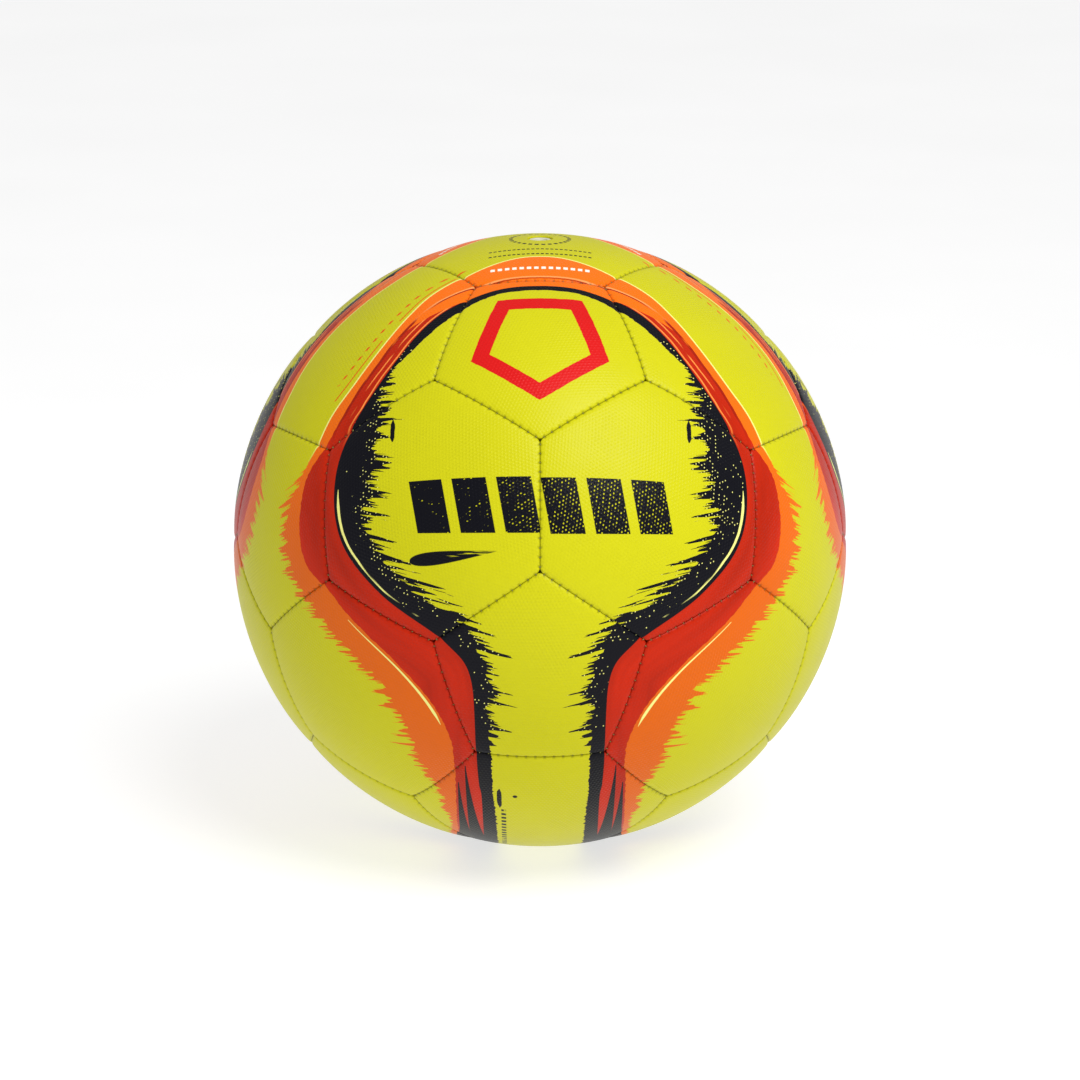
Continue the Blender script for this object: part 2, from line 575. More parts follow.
def bump(wires, shader, height, distance, strength=1.0):
    """Raises the surface by the height's distance in metres."""
    made = wires.node("ShaderNodeBump")
    made.inputs["Strength"].default_value = strength
    made.inputs["Distance"].default_value = distance
    wires.put(made.inputs["Height"], height)
    wires.put(shader.inputs["Normal"], made.outputs[0])


def object_place(wires):
    return wires.node("ShaderNodeTexCoord").outputs["Object"]


def cover_material(colours, groups, badge):
    """Printed, grained skin. The badge is a plain five-sided ring in the middle of a pentagon."""
    made, w, shader = new_material("Printed_skin_badge" if badge else "Printed_skin")
    panel = w.attribute("panel_at").outputs["Vector"]
    at = object_place(w)
    seam = w.attribute("edge").outputs["Fac"]
    run = w.attribute("run").outputs["Fac"]
    printed = w.group(
        groups["print"], place=w.attribute("print_at").outputs["Vector"], panel=panel, at=at,
        orange=w.attribute("to_orange").outputs["Fac"], red=w.attribute("to_red").outputs["Fac"],
        black=w.attribute("to_black").outputs["Fac"], fade=w.attribute("to_fade").outputs["Fac"])
    ground, ink = printed[0], printed[1]
    if badge:
        uneven = w.noise(panel, 0.5, 3.0)
        off = w.calc("MULTIPLY_ADD", w.calc("SUBTRACT", uneven, 0.5), 0.5, seam)
        ring = w.band(off, 13.0, 2.5)
        ground = w.mix(ring, ground, shade(colours.badge))
        ink = w.either(ink, ring)
    # Needle holes, and the shade of the seam
    hole = w.ramp(w.calc("COSINE", w.calc("MULTIPLY", run, math.tau)), 0.35, 0.85)
    pressed = w.both(hole, w.ramp(seam, 0.25, 0.95, 0.45, 0.0))
    lit = w.calc("SUBTRACT", 1.0, w.either(pressed, w.ramp(seam, 0.0, 0.5, 0.25, 0.0)))
    ground = w.mix(1.0, ground, w.vector(lit, lit, lit), "MULTIPLY")
    handled = w.group(groups["handling"], at=at, colour=ground, amount=0.10, roughness=0.40)
    w.put(shader.inputs["Base Color"], handled["Colour"])
    gloss = w.calc("MULTIPLY_ADD", ink, -0.05, handled["Roughness"])
    w.put(shader.inputs["Roughness"], gloss)
    shader.inputs["Specular IOR Level"].default_value = 0.12
    turn = w.calc("MULTIPLY", w.split(panel)[2], 0.5)
    dots = w.group(groups["grain"], at=panel, step=GRAIN_STEP, turn=turn)
    pores = w.noise(panel, 2.6, 3.0)
    patchy = w.ramp(w.noise(panel, 0.06, 1.0), 0.3, 0.65, 0.35, 1.0)
    height = w.calc("ADD", w.calc("MULTIPLY", dots["Height"], patchy), w.calc("MULTIPLY", pores, 0.5))
    bump(w, shader, height, 0.00009, 0.9)
    return made


def plain_material(name, tint, groups, rough, amount, kind, size, depth):
    """A one-colour material: kind is weave, cells or smooth."""
    made, w, shader = new_material(name)
    at = object_place(w)
    tint, dark = shade(tint), shade(tint, 0.6)
    if kind == "weave":
        woven = w.group(groups["weave"], at=at, pitch=size)
        height = woven["Height"]
        tint = w.mix(1.0, tint, w.vector(woven["Shade"], woven["Shade"], woven["Shade"]), "MULTIPLY")
    elif kind == "cells":
        cells = w.node("ShaderNodeTexVoronoi", feature="DISTANCE_TO_EDGE")
        w.put(cells.inputs["Vector"], at)
        cells.inputs["Scale"].default_value = 1 / size
        height = w.ramp(cells.outputs[0], 0.0, 0.25)
        tint = w.mix(height, dark, tint)
    else:
        height = w.noise(at, 1 / size, 3.0)
    handled = w.group(groups["handling"], at=at, colour=tint, amount=amount, roughness=rough)
    w.put(shader.inputs["Base Color"], handled["Colour"])
    w.put(shader.inputs["Roughness"], handled["Roughness"])
    bump(w, shader, height, depth)
    return made


# The print's outlines as distances


def smooth_line(points, steps=12):
    """A curve through the control points (Catmull-Rom). It crosses the middle line square."""
    p = np.array(points, float)
    p = np.vstack([p[1] * (1, -1), p, 2 * p[-1] - p[-2]])
    u = np.arange(steps)[:, None] / steps
    made = []
    for a, b, c, d in zip(p, p[1:], p[2:], p[3:]):
        square, cube = 2 * a - 5 * b + 4 * c - d, 3 * b - a - 3 * c + d
        made.append(0.5 * (2 * b + (c - a) * u + square * u**2 + cube * u**3))
    return np.vstack(made + [p[-2:-1]])


def chart_point(down, off):
    """Unit vectors from degrees down the middle line and degrees off it."""
    down, off = np.radians(down), np.radians(off)
    return np.stack([np.sin(off), -np.cos(off) * np.sin(down), np.cos(off) * np.cos(down)], -1)


class Outline:
    """Signed distance in mm to an outline and its mirror image, negative inside."""

    STEP = 0.75

    def __init__(self, points, radius):
        line = smooth_line(points)
        ends = chart_point(line[:, 0], line[:, 1])
        down, off = np.meshgrid(np.arange(0, 180.1, self.STEP), np.arange(0, 90.1, self.STEP), indexing="ij")
        at = chart_point(down, off).reshape(-1, 3)
        best = np.full(len(at), 9.0)
        for a, b in zip(ends, ends[1:]):
            way = b - a
            share = np.clip((at - a) @ way / max(way @ way, 1e-12), 0, 1)
            best = np.minimum(best, np.linalg.norm(at - a - share[:, None] * way, axis=1))
        inside = (down > line[0, 0]) & (off < np.interp(down, line[:, 0], line[:, 1]))
        self.grid = (best.reshape(down.shape) * np.where(inside, -1, 1)) * radius / MM

    def at(self, down, off):
        """Distance at places in degrees, interpolated between the grid's points."""
        u = np.clip(down / self.STEP, 0, self.grid.shape[0] - 1.001)
        v = np.clip(np.abs(off) / self.STEP, 0, self.grid.shape[1] - 1.001)
        i, j = u.astype(int), v.astype(int)
        u, v = u - i, v - j
        g = self.grid
        return (g[i, j] * (1 - u) * (1 - v) + g[i + 1, j] * u * (1 - v) + g[i, j + 1] * (1 - u) * v
                + g[i + 1, j + 1] * u * v)


def figure_place(at, turn):
    """Degrees down and off the middle line of the figure that is turned round the valve, for unit vectors."""
    c, s = math.cos(math.radians(turn)), math.sin(math.radians(turn))
    x = c * at[:, 0] + s * at[:, 1]
    y = -s * at[:, 0] + c * at[:, 1]
    return np.degrees(np.arctan2(-y, at[:, 2])), np.degrees(np.arcsin(np.clip(x, -1, 1)))


def print_fields(at, outlines, radius):
    """Place in the nearest of the three figures, and distance to each outline of all three, joined softly."""
    places = [figure_place(at, turn) for turn in (0, 120, 240)]
    down = np.stack([p[0] for p in places])
    off = np.stack([p[1] for p in places])
    own = np.argmin(np.where(down < 0, 999, np.abs(off)), axis=0)
    pick = np.arange(len(at))
    one = radius / MM * math.pi / 180
    beyond = np.where(down < 0, np.minimum(-down, 180 + down), 0) * one
    base = np.where(down < 0, np.where(down < -90, 180.0, 0.0), down)
    fields = {}
    for name, outline in outlines.items():
        each = np.sort(np.stack([outline.at(base[k], off[k]) for k in range(3)]) + beyond, axis=0)
        soft = 5.0
        near = np.maximum(soft - (each[1] - each[0]), 0) / soft
        fields[name] = each[0] - near**2 * soft / 4
    where = np.stack([down[own, pick], off[own, pick], np.abs(off[own, pick])], -1) * one
    return where, fields


# Meshes


def unit(v):
    v = np.asarray(v, float)
    return v / np.linalg.norm(v)


def direction(polar, turn):
    p, t = math.radians(polar), math.radians(turn)
    return np.array([math.sin(p) * math.cos(t), math.sin(p) * math.sin(t), math.cos(p)])


def all_panels():
    """Name, number of sides and direction of every panel."""
    made = []
    for name, sides, polar, turns in RINGS:
        for i, turn in enumerate(turns, 1):
            label = name if len(turns) == 1 else f"{name}_{i}"
            made.append((label, sides, direction(polar, turn)))
    return made


def panel_axes(centre, sides, panels):
    """Two axes in the panel, the first over a side's middle, towards the nearest panel of the other kind."""
    others = [c for _, n, c in panels if n != sides]
    toward = max(others, key=lambda c: round(float(c @ centre), 6))
    first = unit(toward - centre * (toward @ centre))
    return first, np.cross(centre, first)


def mesh_from(name, points, faces, floats=(), vectors=()):
    """A smooth mesh with point attributes. Faces is a list of arrays, each of one number of corners."""
    mesh = bpy.data.meshes.new(name)
    mesh.vertices.add(len(points))
    mesh.vertices.foreach_set("co", np.asarray(points, np.float32).ravel())
    loops = np.concatenate([f.ravel() for f in faces])
    counts = np.concatenate([np.full(len(f), f.shape[1]) for f in faces])
    starts = np.concatenate([[0], np.cumsum(counts)[:-1]])
    mesh.loops.add(len(loops))
    mesh.loops.foreach_set("vertex_index", loops.astype(np.int32))
    mesh.polygons.add(len(counts))
    mesh.polygons.foreach_set("loop_start", starts.astype(np.int32))
    mesh.polygons.foreach_set("use_smooth", np.ones(len(counts), bool))
    mesh.update(calc_edges=True)
    for kind, group, key in (("FLOAT", floats, "value"), ("FLOAT_VECTOR", vectors, "vector")):
        for label, values in group:
            made = mesh.attributes.new(label, kind, "POINT")
            made.data.foreach_set(key, np.asarray(values, np.float32).ravel())
    return mesh


def ring_faces(rings, around, closed, pole_first=False, pole_last=False):
    """Quads between rings of points, and fans at the poles, which come after the rings' points."""
    j = np.arange(around)
    k = (j + 1) % around
    quads = []
    for a in range(rings if closed else rings - 1):
        b = (a + 1) % rings
        quads.append(np.stack([a * around + j, b * around + j, b * around + k, a * around + k], -1))
    faces = [np.vstack(quads)]
    pole = rings * around
    if pole_first:
        faces.append(np.stack([np.full(around, pole), j, k], -1))
        pole += 1
    if pole_last:
        last = (rings - 1) * around
        faces.append(np.stack([np.full(around, pole), last + k, last + j], -1))
    return faces


def seam_distance(at, normals, sizes):
    """Distance in mm to a panel's edge with its corners rounded, and to all its sides joined softly."""
    off = np.arcsin(np.clip(at @ normals.T, -1, 1)) * sizes.radius / MM
    into = np.maximum(sizes.corner / MM - off, 0)
    edge = off.min(-1) - (np.sqrt((into**2).sum(-1)) - into.max(-1))
    pillow = -4.0 * np.log(np.exp(-off / 4.0).sum(-1))
    return edge, pillow


def rim_angles(reach, centre, tangent, normals, sizes):
    """Angle from a panel's middle to its rounded edge in each direction, found by halving."""
    low, high = reach * 0.9, reach.copy()
    for _ in range(24):
        middle = (low + high) / 2
        at = np.cos(middle)[:, None] * centre + np.sin(middle)[:, None] * tangent
        outside = seam_distance(at, normals, sizes)[0] < 0.03
        high = np.where(outside, middle, high)
        low = np.where(outside, low, middle)
    return (low + high) / 2


def panel_rows(rim, slope, hole, sizes):
    """Rings of points from the middle of a panel's face, round its turned-in edge and back inside.

    Each ring has its angles from the panel's middle, its depth in mm, and 1 on the face or 0 off it.
    """
    mm = sizes.radius / MM
    apothem = slope * mm
    skin, cover = sizes.skin / MM, sizes.cover / MM
    hem = 1 - skin / apothem
    gaps = [0, 0.12, 0.25, 0.42, 0.62, 0.85, 1.15, 1.5, 1.9, 2.4, 3, 3.8, 4.8, 6, 7.5]
    gaps += list(np.arange(9, apothem - 1.2, 1.9))
    outer = [(1 - gap / apothem, 0.0, 1.0) for gap in reversed(gaps)]
    walls = [(1, 1.9, 0), (1, 3.2, 0), (1, cover, 0), (hem, cover, 0), (hem, 2.6, 0), (hem, skin + 0.15, 0)]
    inner = [(share, skin, 0) for share in (hem - 0.004, 0.75, 0.5, 0.25)]
    mouth, back = [], []
    if hole:
        outer = [row for row in outer if row[0] * slope > hole * 1.5]
        inner = [row for row in inner if row[0] * slope > hole * 1.5]
        lip = 0.35
        mouth.append((hole, skin - 0.1, 0))
        for bend in np.linspace(0, math.pi / 2, 5):
            mouth.append((hole + lip / mm * (1 - math.cos(bend)), lip * (1 - math.sin(bend)), 0))
        mouth += [(hole + width / mm, 0.0, 1.0) for width in (0.7, 1.2, 2.0)]
        back.append((hole, skin, 0))
    rows = [(np.full(len(rim), angle), depth, face) for angle, depth, face in mouth]
    rows += [(rim * share, depth, face) for share, depth, face in outer + walls + inner]
    rows += [(np.full(len(rim), angle), depth, face) for angle, depth, face in back]
    return rows


def panel_mesh(label, sides, centre, axes, sizes, outlines, shift):
    """One closed panel: outer face, turned-in edge and inner face, with what its material and seams need."""
    mm = sizes.radius / MM
    slope = math.radians(HEX_SLOPE if sides == 6 else PENT_SLOPE)
    half = math.atan(math.tan(math.pi / sides) * math.sin(slope))
    per_side = sizes.stitches * 6
    step = (np.arange(per_side) + 0.5) / per_side * 2 - 1
    along = np.tile(step * half, sides)
    side_turns = np.arange(sides) * math.tau / sides
    turn = np.arctan2(np.sin(along), math.sin(slope) * np.cos(along)) + np.repeat(side_turns, per_side)
    reach = np.arccos(math.cos(slope) * np.cos(along))
    first, second = axes
    tangent = np.cos(turn)[:, None] * first + np.sin(turn)[:, None] * second
    outward = np.cos(side_turns)[:, None] * first + np.sin(side_turns)[:, None] * second
    normals = math.sin(slope) * centre - math.cos(slope) * outward

    hole = sizes.valve_hole / 2 / sizes.radius if label == "valve_hexagon" else 0
    whole = not hole
    rim = rim_angles(reach, centre, tangent, normals, sizes)
    rows = panel_rows(rim, slope, hole, sizes)
    rings, around = len(rows), len(turn)
    polar = np.array([angles for angles, _, _ in rows])
    level = mm - np.repeat([depth for _, depth, _ in rows], around)
    face = np.repeat([face for _, _, face in rows], around)
    at = np.cos(polar)[..., None] * centre + np.sin(polar)[..., None] * tangent
    at = at.reshape(-1, 3)
    run = np.tile((along / half + 1) * sizes.stitches / 2 - 0.5, rings)
    flat = (polar * mm)[..., None] * np.stack([np.cos(turn), np.sin(turn)], -1)
    flat = flat.reshape(-1, 2)
    if whole:
        at = np.vstack([at, centre, centre])
        level = np.append(level, [mm, mm - sizes.skin / MM])
        face = np.append(face, [1, 0])
        run = np.append(run, [0, 0])
        flat = np.vstack([flat, [0, 0], [0, 0]])
    edge, pillow = seam_distance(at, normals, sizes)
    moved = at + (shift[0] * first + shift[1] * second) / sizes.radius
    moved /= np.linalg.norm(moved, axis=1)[:, None]
    where, fields = print_fields(moved, outlines, sizes.radius)
    floats = [("edge", edge), ("pillow", pillow), ("run", run), ("face", face)]
    floats += [("to_" + key, value) for key, value in fields.items()]
    # The third number turns the grain, by a different amount on each panel
    seed = (abs(math.sin(centre @ np.array([12.99, 78.23, 37.72]))) * 43.7) % 1.0
    panel_at = np.column_stack([flat, np.full(len(flat), seed * 6)])
    faces = ring_faces(rings, around, not whole, whole, whole)
    return mesh_from("cover_" + label, at * level[:, None] * MM, faces, floats,
                     [("print_at", where), ("panel_at", panel_at)])


def sewn_tree():
    """Geometry Nodes: crowns a panel, rolls its edge into the seam and pulls it in at each stitch."""
    takes = [("Geometry", "NodeSocketGeometry", None), ("Depth", FLOAT, 0.0008), ("Roll", FLOAT, 2.3),
             ("Crown", FLOAT, 0.0004), ("Crown reach", FLOAT, 6.0), ("Pucker", FLOAT, 0.00014),
             ("Pucker reach", FLOAT, 1.1), ("Material", "NodeSocketMaterial", None)]
    gives = [("Geometry", "NodeSocketGeometry")]
    tree, w, take, give = new_group("Sewn panel", takes, gives, "GeometryNodeTree")

    def named(label):
        made = w.node("GeometryNodeInputNamedAttribute", data_type="FLOAT")
        made.inputs["Name"].default_value = label
        return made.outputs["Attribute"]

    edge, pillow, run, face = named("edge"), named("pillow"), named("run"), named("face")
    into = w.calc("SUBTRACT", 1.0, w.calc("DIVIDE", edge, take["Roll"]))
    into = w.calc("MINIMUM", w.calc("MAXIMUM", into, 0.0), 1.0)
    arc = w.calc("SUBTRACT", 1.0, w.calc("SQRT", w.calc("SUBTRACT", 1.0, w.calc("MULTIPLY", into, into))))
    groove = w.calc("MULTIPLY", arc, take["Depth"])
    fall = w.calc("EXPONENT", w.calc("MULTIPLY", w.calc("DIVIDE", pillow, take["Crown reach"]), -1.0))
    fall = w.calc("MULTIPLY", w.calc("MINIMUM", fall, 1.3), take["Crown"])
    pull = w.calc("EXPONENT", w.calc("MULTIPLY", w.calc("DIVIDE", edge, take["Pucker reach"]), -1.0))
    beat = w.calc("MULTIPLY_ADD", w.calc("COSINE", w.calc("MULTIPLY", run, math.tau)), 0.5, 0.5)
    pull = w.calc("MULTIPLY", w.calc("MULTIPLY", pull, beat), take["Pucker"])
    inwards = w.calc("MULTIPLY", face, -1.0)
    total = w.calc("MULTIPLY", w.calc("ADD", w.calc("ADD", groove, fall), pull), inwards)
    place = w.node("GeometryNodeInputPosition")
    out = w.node("ShaderNodeVectorMath", operation="NORMALIZE")
    w.put(out.inputs[0], place.outputs[0])
    scaled = w.node("ShaderNodeVectorMath", operation="SCALE")
    w.put(scaled.inputs[0], out.outputs[0])
    w.put(scaled.inputs["Scale"], total)
    move = w.node("GeometryNodeSetPosition")
    w.put(move.inputs["Geometry"], take["Geometry"])
    w.put(move.inputs["Offset"], scaled.outputs[0])
    realize = w.node("GeometryNodeRealizeInstances")
    w.put(realize.inputs[0], move.outputs[0])
    paint = w.node("GeometryNodeSetMaterial")
    w.put(paint.inputs["Geometry"], realize.outputs[0])
    w.put(paint.inputs["Material"], take["Material"])
    w.put(give["Geometry"], paint.outputs[0])
    return tree


def stitch_tree():
    """Geometry Nodes: a short bowed thread on every point of the seam lines, square to the seam."""
    takes = [("Geometry", "NodeSocketGeometry", None), ("Thread", FLOAT, 0.00045), ("Span", FLOAT, 0.0012),
             ("Slant", FLOAT, 0.0003), ("Seed", "NodeSocketInt", 4),
             ("Material", "NodeSocketMaterial", None)]
    gives = [("Geometry", "NodeSocketGeometry")]
    tree, w, take, give = new_group("Stitches", takes, gives, "GeometryNodeTree")
    reach = w.calc("MULTIPLY", take["Span"], 0.5)
    lean = w.calc("MULTIPLY", take["Slant"], 0.5)
    dip = w.calc("MULTIPLY", take["Thread"], -0.8)
    bow = w.node("GeometryNodeCurveQuadraticBezier")
    bow.inputs["Resolution"].default_value = 5
    start = w.vector(w.calc("MULTIPLY", lean, -1.0), w.calc("MULTIPLY", reach, -1.0), dip)
    w.put(bow.inputs["Start"], start)
    w.put(bow.inputs["Middle"], w.vector(0.0, 0.0, w.calc("MULTIPLY", take["Thread"], 0.8)))
    w.put(bow.inputs["End"], w.vector(lean, reach, dip))
    round_ = w.node("GeometryNodeCurvePrimitiveCircle", mode="RADIUS")
    round_.inputs["Resolution"].default_value = 7
    w.put(round_.inputs["Radius"], w.calc("MULTIPLY", take["Thread"], 0.5))
    tube = w.node("GeometryNodeCurveToMesh")
    w.put(tube.inputs["Curve"], bow.outputs[0])
    w.put(tube.inputs["Profile Curve"], round_.outputs[0])
    tube.inputs["Fill Caps"].default_value = True
    smooth = w.node("GeometryNodeSetShadeSmooth")
    w.put(smooth.inputs["Geometry"], tube.outputs[0])
    curve = w.node("GeometryNodeMeshToCurve")
    w.put(curve.inputs[0], take["Geometry"])
    tangent = w.node("GeometryNodeInputTangent")
    place = w.node("GeometryNodeInputPosition")
    out = w.node("ShaderNodeVectorMath", operation="NORMALIZE")
    w.put(out.inputs[0], place.outputs[0])
    upright = w.node("FunctionNodeAlignRotationToVector", axis="Z")
    w.put(upright.inputs["Vector"], out.outputs[0])
    facing = w.node("FunctionNodeAlignRotationToVector", axis="X", pivot_axis="Z")
    w.put(facing.inputs["Rotation"], upright.outputs[0])
    w.put(facing.inputs["Vector"], tangent.outputs[0])
    change = w.node("FunctionNodeRandomValue", data_type="FLOAT")
    change.inputs[2].default_value = 0.88
    change.inputs[3].default_value = 1.08
    w.put(change.inputs["Seed"], take["Seed"])
    copies = w.node("GeometryNodeInstanceOnPoints")
    w.put(copies.inputs["Points"], curve.outputs[0])
    w.put(copies.inputs["Instance"], smooth.outputs[0])
    w.put(copies.inputs["Rotation"], facing.outputs[0])
    w.put(copies.inputs["Scale"], change.outputs[1])
    realize = w.node("GeometryNodeRealizeInstances")
    w.put(realize.inputs[0], copies.outputs[0])
    paint = w.node("GeometryNodeSetMaterial")
    w.put(paint.inputs["Geometry"], realize.outputs[0])
    w.put(paint.inputs["Material"], take["Material"])
    w.put(give["Geometry"], paint.outputs[0])
    return tree


def grown(name, mesh, tree, **values):
    """A plain object made from the mesh by a Geometry Nodes tree with these inputs."""
    made = bpy.data.objects.new(name, mesh)
    bpy.context.scene.collection.objects.link(made)
    modifier = made.modifiers.new("Grow", "NODES")
    modifier.node_group = tree
    sockets = {item.name: item.identifier for item in tree.interface.items_tree
               if item.item_type == "SOCKET" and item.in_out == "INPUT"}
    for key, value in values.items():
        modifier[sockets[key.replace("_", " ").capitalize()]] = value
    made.update_tag()
    graph = bpy.context.evaluated_depsgraph_get()
    made.data = bpy.data.meshes.new_from_object(
        made.evaluated_get(graph), preserve_all_data_layers=True, depsgraph=graph)
    made.data.name = name
    made.modifiers.clear()
    if not made.data.polygons:
        raise RuntimeError(f"{name} came out empty")
    return made


def finish_piece(piece, slot, *nodes):
    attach(piece, "root")
    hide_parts(*nodes)


def lathe(name, profile, around, material):
    """A closed piece turned round Z from a loop of radius and height in mm, which goes up the inside first."""
    turn = np.arange(around) * math.tau / around
    points = [np.column_stack([r * np.cos(turn), r * np.sin(turn), np.full(around, z)]) for r, z in profile]
    mesh = mesh_from(name, np.vstack(points) * MM, ring_faces(len(profile), around, True))
    mesh.materials.append(material)
    made = bpy.data.objects.new(name, mesh)
    bpy.context.scene.collection.objects.link(made)
    return made


def arc(r, z, size, start, end, steps=5):
    """Points of a rounded corner, angles in degrees."""
    turn = np.radians(np.linspace(start, end, steps))
    return [(r + size * math.cos(a), z + size * math.sin(a)) for a in turn]


class BALL_OT_materials(bpy.types.Operator):
    """Makes every material and the node groups they share"""

    bl_idname = "ball.materials"
    bl_label = "Materials"

    def execute(self, context):
        colours = context.scene.ball_colours
        groups = {"grain": grain_group(), "brush": brush_group(), "weave": weave_group(),
                  "handling": handling_group()}
        groups["print"] = print_group(colours, groups["brush"], groups["grain"])
        cover_material(colours, groups, False)
        cover_material(colours, groups, True)
        plain_material("Sewing_thread", colours.thread, groups, 0.6, 0.2, "weave", 0.00025, 0.00003)
        plain_material("Foam", colours.foam, groups, 0.85, 0.12, "cells", 0.0009, 0.00008)
        plain_material("Lining", colours.lining, groups, 0.8, 0.12, "weave", 0.0008, 0.00008)
        plain_material("Patch_cloth", colours.lining, groups, 0.75, 0.2, "weave", 0.0005, 0.00006)
        plain_material("Butyl", colours.butyl, groups, 0.42, 0.25, "smooth", 0.004, 0.00005)
        plain_material("Valve_rubber", colours.valve, groups, 0.5, 0.15, "smooth", 0.0015, 0.00003)
        return {"FINISHED"}


class BALL_OT_panels(bpy.types.Operator):
    """Builds the 32 sewn and printed panels"""

    bl_idname = "ball.panels"
    bl_label = "Panels"

    def execute(self, context):
        sizes = context.scene.ball_sizes
        panels = all_panels()
        missing = [label for label, _, _ in panels if label not in NODES]
        if missing:
            raise RuntimeError(f"the CAD model has no {missing}")
        outlines = {
            "orange": Outline(ORANGE_EDGE, sizes.radius),
            "red": Outline(RED_EDGE, sizes.radius),
            "black": Outline(BLACK_EDGE, sizes.radius),
            "fade": Outline(FADE_EDGE, sizes.radius),
        }
        tree = sewn_tree()
        chance = np.random.default_rng(11)
        for label, sides, centre in panels:
            axes = panel_axes(centre, sides, panels)
            shift = chance.uniform(-1, 1, 2) * sizes.print_shift
            mesh = panel_mesh(label, sides, centre, axes, sizes, outlines, shift)
            badge = label.startswith("crown_pentagon")
            material = bpy.data.materials["Printed_skin_badge" if badge else "Printed_skin"]
            piece = grown("cover_" + label, mesh, tree, depth=sizes.groove_depth,
                          roll=sizes.groove_width / MM, crown=sizes.crown, pucker=sizes.pucker,
                          material=material)
            finish_piece(piece, "cover_skin", label)
        return {"FINISHED"}


class BALL_OT_stitches(bpy.types.Operator):
    """Sews the 90 seams"""

    bl_idname = "ball.stitches"
    bl_label = "Stitches"

    def execute(self, context):
        sizes = context.scene.ball_sizes
        panels = all_panels()
        radius = sizes.radius - sizes.stitch_depth
        half = math.atan(math.tan(math.pi / 6) * math.sin(math.radians(HEX_SLOPE)))
        steps = (np.arange(sizes.stitches) + 0.5) / sizes.stitches * 2 - 1
        points, edges = [], []
        for i, (_, sides, centre) in enumerate(panels):
            for _, other_sides, other in panels[i + 1:]:
                gap = math.degrees(math.acos(max(-1, min(1, float(centre @ other)))))
                if gap > HEX_NEAR + 0.1 or (sides == other_sides == 5):
                    continue
                slope = math.radians(HEX_SLOPE if sides == 6 else PENT_SLOPE)
                toward = unit(other - centre * (other @ centre))
                middle = math.cos(slope) * centre + math.sin(slope) * toward
                along = unit(np.cross(middle, toward - middle * (toward @ middle)))
                start = len(points)
                points += [(math.cos(s * half) * middle + math.sin(s * half) * along) * radius for s in steps]
                edges += [(k, k + 1) for k in range(start, len(points) - 1)]
        if len(points) != SEAMS * sizes.stitches:
            raise RuntimeError(f"the ball doesn't have {SEAMS} seams")
        mesh = bpy.data.meshes.new("seam_lines")
        mesh.from_pydata([tuple(p) for p in points], edges, [])
        piece = grown("seam_stitches", mesh, stitch_tree(), thread=sizes.thread, span=sizes.stitch_span,
                      material=bpy.data.materials["Sewing_thread"])
        finish_piece(piece, "thread", "seam_threads")
        return {"FINISHED"}


class BALL_OT_valve(bpy.types.Operator):
    """Builds the valve housing and its plug, with rounded lips"""

    bl_idname = "ball.valve"
    bl_label = "Valve"

    def execute(self, context):
        rubber = bpy.data.materials["Valve_rubber"]
        low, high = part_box("valve_housing")
        top, bottom, outer = high.z / MM, low.z / MM, high.x / MM
        plug_low, plug_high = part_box("valve_plug")
        floor, bore = plug_low.z / MM, 2.2
        housing = [(1.2, bottom), (1.2, floor), (bore, floor)]
        housing += [(bore, z) for z in np.linspace(floor + 2, top - 2, 4)]
        housing += arc(bore + 0.3, top - 0.3, 0.3, 180, 90) + arc(outer - 0.5, top - 0.5, 0.5, 90, 0)
        housing += [(outer, z) for z in np.linspace(top - 3, bottom + 2, 4)]
        housing += arc(outer - 0.6, bottom + 0.6, 0.6, 0, -90)
        finish_piece(lathe("valve_mouth", housing, 72, rubber), "butyl", "valve_housing")
        lip, needle = plug_high.z / MM, 1.05
        barb = plug_high.x / MM
        blind = lip - 8.6
        plug = [(0.02, blind), (needle, blind), (needle, lip - 5), (needle, lip - 0.7)]
        plug += arc(needle + 0.55, lip - 0.55, 0.55, 180, 90) + arc(bore - 0.28, lip - 0.25, 0.25, 90, 0)
        plug += [(bore - 0.02, lip - 4), (bore - 0.02, floor + 4)]
        plug += [(bore - 0.02, floor + 0.4), (bore - 0.4, floor + 0.02), (0.02, floor + 0.02)]
        if barb > bore + 0.05:
            plug[-3:-3] = [(bore - 0.02, floor + 3.2), (barb - 0.1, floor + 2.6), (barb - 0.1, floor + 2.0)]
        finish_piece(lathe("valve_core", plug, 64, rubber), "plug_rubber", "valve_plug")
        return {"FINISHED"}


class BALL_OT_inside(bpy.types.Operator):
    """Gives the carried-over pieces inside the cover their materials"""

    bl_idname = "ball.inside"
    bl_label = "Inside"

    PIECES = {
        "hexagon_foam_pads": "Foam", "pentagon_foam_pads": "Foam", "valve_foam_pad": "Foam",
        "bounce_damper": "Foam", "hexagon_linings": "Lining", "pentagon_linings": "Lining",
        "valve_lining": "Lining", "valve_hole_patch": "Patch_cloth", "bladder": "Butyl",
        "valve_flange": "Butyl",
    }

    def execute(self, context):
        for node, material in self.PIECES.items():
            piece = NODES[node]
            piece.data.materials.clear()
            piece.data.materials.append(bpy.data.materials[material])
        return {"FINISHED"}


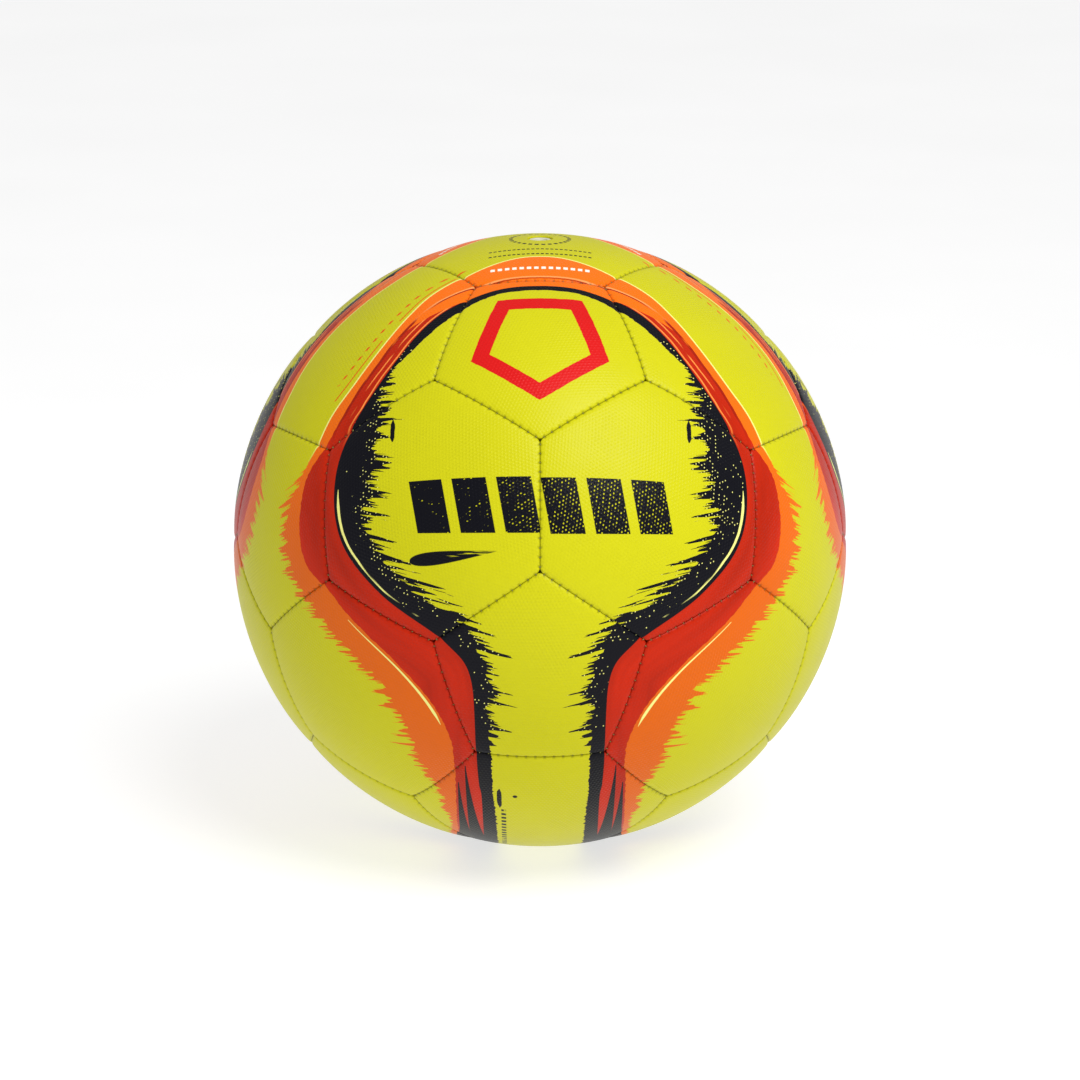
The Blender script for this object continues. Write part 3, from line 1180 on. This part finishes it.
class BALL_OT_stage(bpy.types.Operator):
    """Sets the camera, the lights and the pale floor"""

    bl_idname = "ball.stage"
    bl_label = "Stage"

    def light(self, name, power, size, turn, height, away):
        """A round soft light that faces the ball. Turn and height are in degrees, size and away in metres."""
        data = bpy.data.lights.new(name, "AREA")
        data.shape = "DISK"
        data.size = size
        data.energy = power
        lamp = bpy.data.objects.new(name, data)
        bpy.context.scene.collection.objects.link(lamp)
        lamp.location = direction(90 - height, turn) * away
        lamp.rotation_mode = "QUATERNION"
        lamp.rotation_quaternion = lamp.location.to_track_quat("Z", "Y")

    def execute(self, context):
        scene = context.scene
        sizes = scene.stage_sizes
        scene.view_settings.view_transform = "Standard"
        data = bpy.data.cameras.new("Camera")
        data.lens = sizes.lens
        data.sensor_width = 36
        data.clip_end = 60
        camera = bpy.data.objects.new("Camera", data)
        scene.collection.objects.link(camera)
        camera.location = direction(90 - math.degrees(sizes.height), -90) * sizes.distance
        camera.rotation_euler = (math.pi / 2 - sizes.height, 0, 0)
        scene.camera = camera
        self.light("Key", sizes.key, size=0.75, turn=-58, height=50, away=1.3)
        self.light("Fill", sizes.fill, size=1.2, turn=-150, height=20, away=1.6)
        world = bpy.data.worlds.new("Surround")
        world.use_nodes = True
        world.node_tree.nodes["Background"].inputs[0].default_value = (1, 1, 1, 1)
        world.node_tree.nodes["Background"].inputs[1].default_value = sizes.sky
        scene.world = world
        sides = 64
        j = np.arange(sides)
        turn = j * math.tau / sides
        low = CAD_BOX[0].z
        rim = np.column_stack([np.cos(turn) * FLOOR_RADIUS, np.sin(turn) * FLOOR_RADIUS, np.full(sides, low)])
        points = np.vstack([rim, [0, 0, low]])
        mesh = mesh_from("Floor", points, [np.stack([j, (j + 1) % sides, np.full(sides, sides)], -1)])
        floor = bpy.data.objects.new("Floor", mesh)
        scene.collection.objects.link(floor)
        pale, w, shader = new_material("Pale_floor")
        at = object_place(w)
        tone = w.ramp(w.noise(at, 6.0, 3.0), 0.3, 0.7, 0.43, 0.46)
        w.put(shader.inputs["Base Color"], w.vector(tone, tone, tone))
        shader.inputs["Roughness"].default_value = 0.9
        shader.inputs["Specular IOR Level"].default_value = 0.1
        shader.inputs["Emission Color"].default_value = (1, 1, 1, 1)
        shader.inputs["Emission Strength"].default_value = sizes.floor
        mesh.materials.append(pale)
        return {"FINISHED"}


class BALL_PT_sidebar(bpy.types.Panel):
    """Sizes, colours and steps of the ball"""

    bl_label = "Ball"
    bl_idname = "BALL_PT_sidebar"
    bl_space_type = "VIEW_3D"
    bl_region_type = "UI"
    bl_category = "Ball"

    def draw(self, context):
        layout = self.layout
        for group in (context.scene.ball_sizes, context.scene.ball_colours, context.scene.stage_sizes):
            box = layout.box()
            for key in group.__annotations__:
                box.prop(group, key)
        for step in STEPS:
            layout.operator(step.bl_idname)


STEPS = (BALL_OT_materials, BALL_OT_panels, BALL_OT_stitches, BALL_OT_valve, BALL_OT_inside, BALL_OT_stage)
CLASSES = (BallSizes, BallColours, StageSizes, *STEPS, BALL_PT_sidebar)


def register():
    for each in CLASSES:
        bpy.utils.register_class(each)
    bpy.types.Scene.ball_sizes = bpy.props.PointerProperty(type=BallSizes)
    bpy.types.Scene.ball_colours = bpy.props.PointerProperty(type=BallColours)
    bpy.types.Scene.stage_sizes = bpy.props.PointerProperty(type=StageSizes)


def unregister():
    del bpy.types.Scene.stage_sizes
    del bpy.types.Scene.ball_colours
    del bpy.types.Scene.ball_sizes
    for each in reversed(CLASSES):
        bpy.utils.unregister_class(each)


def main():
    register()
    for step in ("materials", "panels", "stitches", "valve", "inside", "stage"):
        if getattr(bpy.ops.ball, step)() != {"FINISHED"}:
            raise RuntimeError(f"the step {step} didn't finish")


if __name__ == "__main__":
    main()
